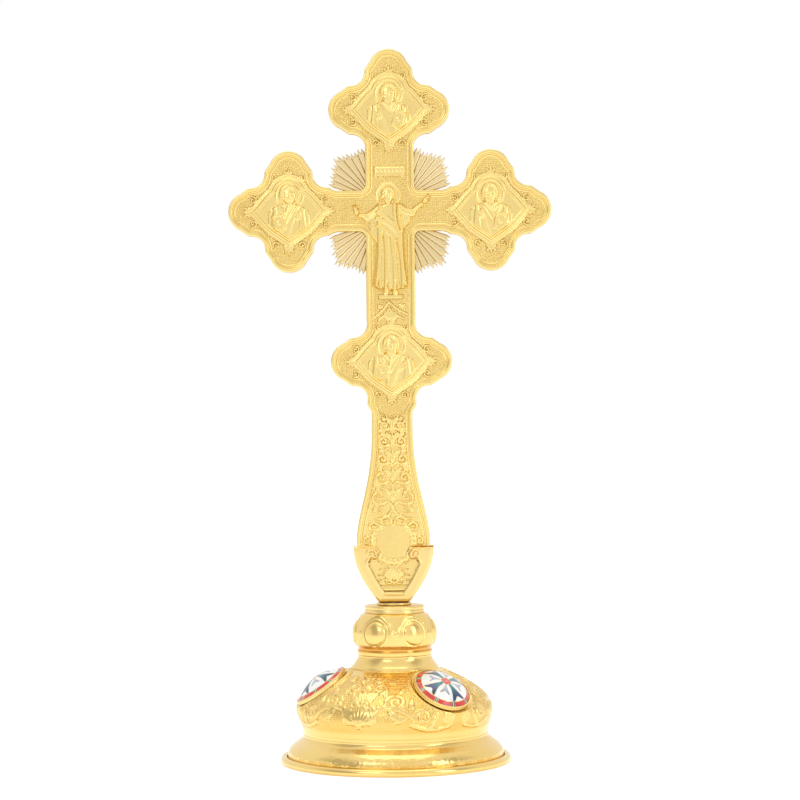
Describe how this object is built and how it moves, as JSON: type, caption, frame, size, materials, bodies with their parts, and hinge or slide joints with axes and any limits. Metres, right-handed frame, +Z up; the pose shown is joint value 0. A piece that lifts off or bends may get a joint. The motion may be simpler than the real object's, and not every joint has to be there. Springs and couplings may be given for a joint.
{
  "type": "blessing cross on a stand",
  "caption": "Gilt hand cross with quatrefoil ends, relief plaques and sunburst rays; its flared grip drops into a cup on a knopped, bell-shaped stand with enamel medallions.",
  "frame": {"origin": "centre of the foot rim's underside", "axes": "+Z up along the stand's axis, front face of the cross towards -Y, +X to the right of someone who looks at the front"},
  "size_m": [0.1644, 0.118, 0.3639],
  "materials": {
    "front_plate": "gold-plated brass, polished",
    "back_plate": "gold-plated brass, polished",
    "core_plate": "gold-plated brass, polished",
    "sunburst_upper_right": "polished pale gilt brass",
    "sunburst_upper_left": "polished pale gilt brass",
    "sunburst_lower_left": "polished pale gilt brass",
    "sunburst_lower_right": "polished pale gilt brass",
    "upper_icon_plaque": "gold-plated brass, polished",
    "left_icon_plaque": "gold-plated brass, polished",
    "right_icon_plaque": "gold-plated brass, polished",
    "lower_icon_plaque": "gold-plated brass, polished",
    "corpus_relief": "gold-plated brass, polished",
    "cup_front": "gold-plated brass, polished",
    "cup_back": "gold-plated brass, polished",
    "cup_rod_block": "gold-plated brass, polished",
    "tie_rod": "plain steel",
    "tie_nut": "plain steel",
    "swivel_washer": "gold-plated brass, polished",
    "stand_cap": "gold-plated brass, polished",
    "knop": "gold-plated brass, polished",
    "waist_ring": "gold-plated brass, polished",
    "neck_collar": "gold-plated brass, polished",
    "bell_foot": "gold-plated brass, polished",
    "foot_rim": "gold-plated brass, polished",
    "clamp_washer": "plain steel",
    "medallion_bezel_1": "gold-plated brass, polished",
    "medallion_bezel_2": "gold-plated brass, polished",
    "medallion_bezel_3": "gold-plated brass, polished",
    "medallion_enamel_1": "domed enamel, glossy",
    "medallion_enamel_2": "domed enamel, glossy",
    "medallion_enamel_3": "domed enamel, glossy",
    "medallion_nut_1": "plain steel",
    "medallion_nut_2": "plain steel",
    "medallion_nut_3": "plain steel"
  },
  "bodies": {
    "stand": {"swivel_washer": "swivel_washer", "stand_cap": "stand_cap", "knop": "knop", "waist_ring": "waist_ring", "neck_collar": "neck_collar", "bell_foot": "bell_foot", "foot_rim": "foot_rim", "clamp_washer": "clamp_washer", "medallion_bezel_1": "medallion_bezel_1", "medallion_bezel_2": "medallion_bezel_2", "medallion_bezel_3": "medallion_bezel_3", "medallion_enamel_1": "medallion_enamel_1", "medallion_enamel_2": "medallion_enamel_2", "medallion_enamel_3": "medallion_enamel_3", "medallion_nut_1": "medallion_nut_1", "medallion_nut_2": "medallion_nut_2", "medallion_nut_3": "medallion_nut_3"},
    "cup": {"cup_front": "cup_front", "cup_back": "cup_back", "cup_rod_block": "cup_rod_block", "tie_rod": "tie_rod", "tie_nut": "tie_nut"},
    "cross": {"front_plate": "front_plate", "back_plate": "back_plate", "core_plate": "core_plate", "sunburst_upper_right": "sunburst_upper_right", "sunburst_upper_left": "sunburst_upper_left", "sunburst_lower_left": "sunburst_lower_left", "sunburst_lower_right": "sunburst_lower_right", "upper_icon_plaque": "upper_icon_plaque", "left_icon_plaque": "left_icon_plaque", "right_icon_plaque": "right_icon_plaque", "lower_icon_plaque": "lower_icon_plaque", "corpus_relief": "corpus_relief"}
  },
  "joints": [
    {"name": "cup_swivel", "type": "hinge", "parent": "stand", "child": "cup", "pos_m": [0, 0, 0.0811], "axis": [0, 0, 1], "continuous": true},
    {"name": "cross_lift", "type": "slide", "parent": "cup", "child": "cross", "axis": [0, 0, 1], "range_m": [0, 0.05]}
  ]
}
